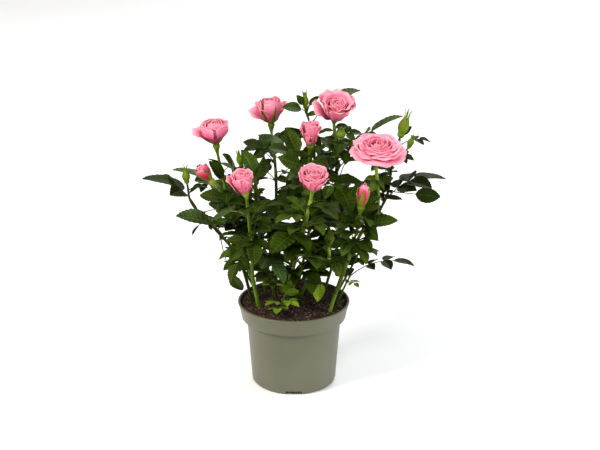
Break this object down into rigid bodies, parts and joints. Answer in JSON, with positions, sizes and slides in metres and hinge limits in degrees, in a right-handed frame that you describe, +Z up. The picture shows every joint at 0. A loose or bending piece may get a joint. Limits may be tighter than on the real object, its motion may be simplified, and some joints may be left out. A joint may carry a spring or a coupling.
{
  "type": "potted miniature rose bush",
  "caption": "Small bushy rose with pink double blooms and buds over dark green leaves, in a round collared nursery pot filled with soil.",
  "frame": {"origin": "centre of the pot's flat underside", "axes": "+Z up, -Y towards the viewer of the picture, +X to that viewer's right"},
  "size_m": [0.2806, 0.1885, 0.2821],
  "materials": {
    "pot": "grey-green thin moulded plastic, satin",
    "soil": "dark brown peat, matt",
    "stems": "green canes, satin",
    "leaves": "dark green leaves, slightly glossy",
    "petals": "pink petals, soft sheen"
  },
  "bodies": {
    "root": {"bough_right": "stems", "cane_back_bloom": "stems", "cane_centre": "stems", "cane_front_bloom": "stems", "cane_front_left": "stems", "cane_left": "stems", "cane_left_bloom": "stems", "cane_low_bud": "stems", "cane_mid_left": "stems", "cane_rear": "stems", "cane_rear_left": "stems", "cane_rear_right": "stems", "cane_right": "stems", "cane_top_bloom": "stems", "cane_top_bud": "stems", "foliage_back_bloom": "leaves", "foliage_centre": "leaves", "foliage_front_bloom": "leaves", "foliage_front_left": "leaves", "foliage_left": "leaves", "foliage_left_bloom": "leaves", "foliage_low_back": "leaves", "foliage_low_bud": "leaves", "foliage_low_centre": "leaves", "foliage_low_front": "leaves", "foliage_low_left": "leaves", "foliage_low_right": "leaves", "foliage_mid_left": "leaves", "foliage_rear": "leaves", "foliage_rear_left": "leaves", "foliage_rear_right": "leaves", "foliage_right_bloom": "leaves", "foliage_right_low": "leaves", "foliage_right_tip": "leaves", "foliage_top_bloom": "leaves", "foliage_top_bud": "leaves", "pot": "pot", "rose_back_bloom": "petals", "rose_centre": "petals", "rose_front_bloom": "petals", "rose_front_left": "petals", "rose_left_bloom": "petals", "rose_left_bud": "petals", "rose_right_bloom": "petals", "rose_right_bud": "petals", "rose_top_bloom": "petals", "soil": "soil"}
  },
  "joints": []
}
